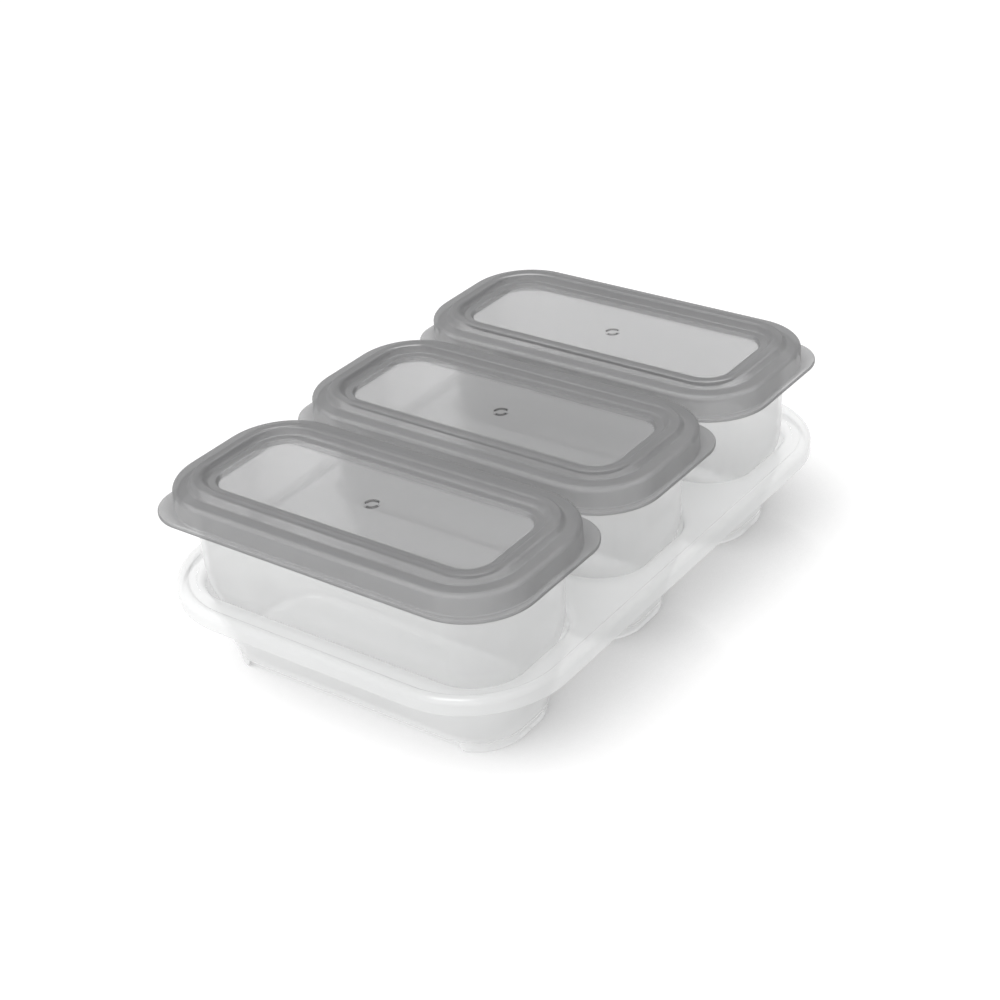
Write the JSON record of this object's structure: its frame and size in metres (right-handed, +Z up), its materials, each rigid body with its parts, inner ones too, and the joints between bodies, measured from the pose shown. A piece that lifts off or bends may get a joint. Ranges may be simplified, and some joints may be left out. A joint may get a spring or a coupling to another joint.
{
  "type": "baby food storage container",
  "caption": "Clear rounded food containers with grey see-through press-on lids, standing side by side in the wells of a clear tray with low curved feet.",
  "frame": {"origin": "middle of the tray's footprint, on the surface that its feet stand on", "axes": "+Z up, +X along the length of each container, +Y along the row from container 1 to container 3"},
  "size_m": [0.1318, 0.193, 0.0623],
  "materials": {
    "tray_clear": "clear moulded plastic, slightly frosted",
    "container_clear": "clear moulded plastic, slightly frosted",
    "lid_grey": "soft grey see-through plastic, satin"
  },
  "bodies": {
    "tray": {"tray": "tray_clear"},
    "container_1": {"container_1": "container_clear"},
    "container_2": {"container_2": "container_clear"},
    "container_3": {"container_3": "container_clear"},
    "lid_1": {"lid_1": "lid_grey"},
    "lid_2": {"lid_2": "lid_grey"},
    "lid_3": {"lid_3": "lid_grey"}
  },
  "joints": [
    {"name": "container_1_lift", "type": "slide", "parent": "tray", "child": "container_1", "axis": [0, 0, 1], "range_m": [0, 0.045]},
    {"name": "container_2_lift", "type": "slide", "parent": "tray", "child": "container_2", "axis": [0, 0, 1], "range_m": [0, 0.045]},
    {"name": "container_3_lift", "type": "slide", "parent": "tray", "child": "container_3", "axis": [0, 0, 1], "range_m": [0, 0.045]},
    {"name": "lid_1_lift", "type": "slide", "parent": "container_1", "child": "lid_1", "axis": [0, 0, 1], "range_m": [0, 0.03]},
    {"name": "lid_2_lift", "type": "slide", "parent": "container_2", "child": "lid_2", "axis": [0, 0, 1], "range_m": [0, 0.03]},
    {"name": "lid_3_lift", "type": "slide", "parent": "container_3", "child": "lid_3", "axis": [0, 0, 1], "range_m": [0, 0.03]}
  ]
}
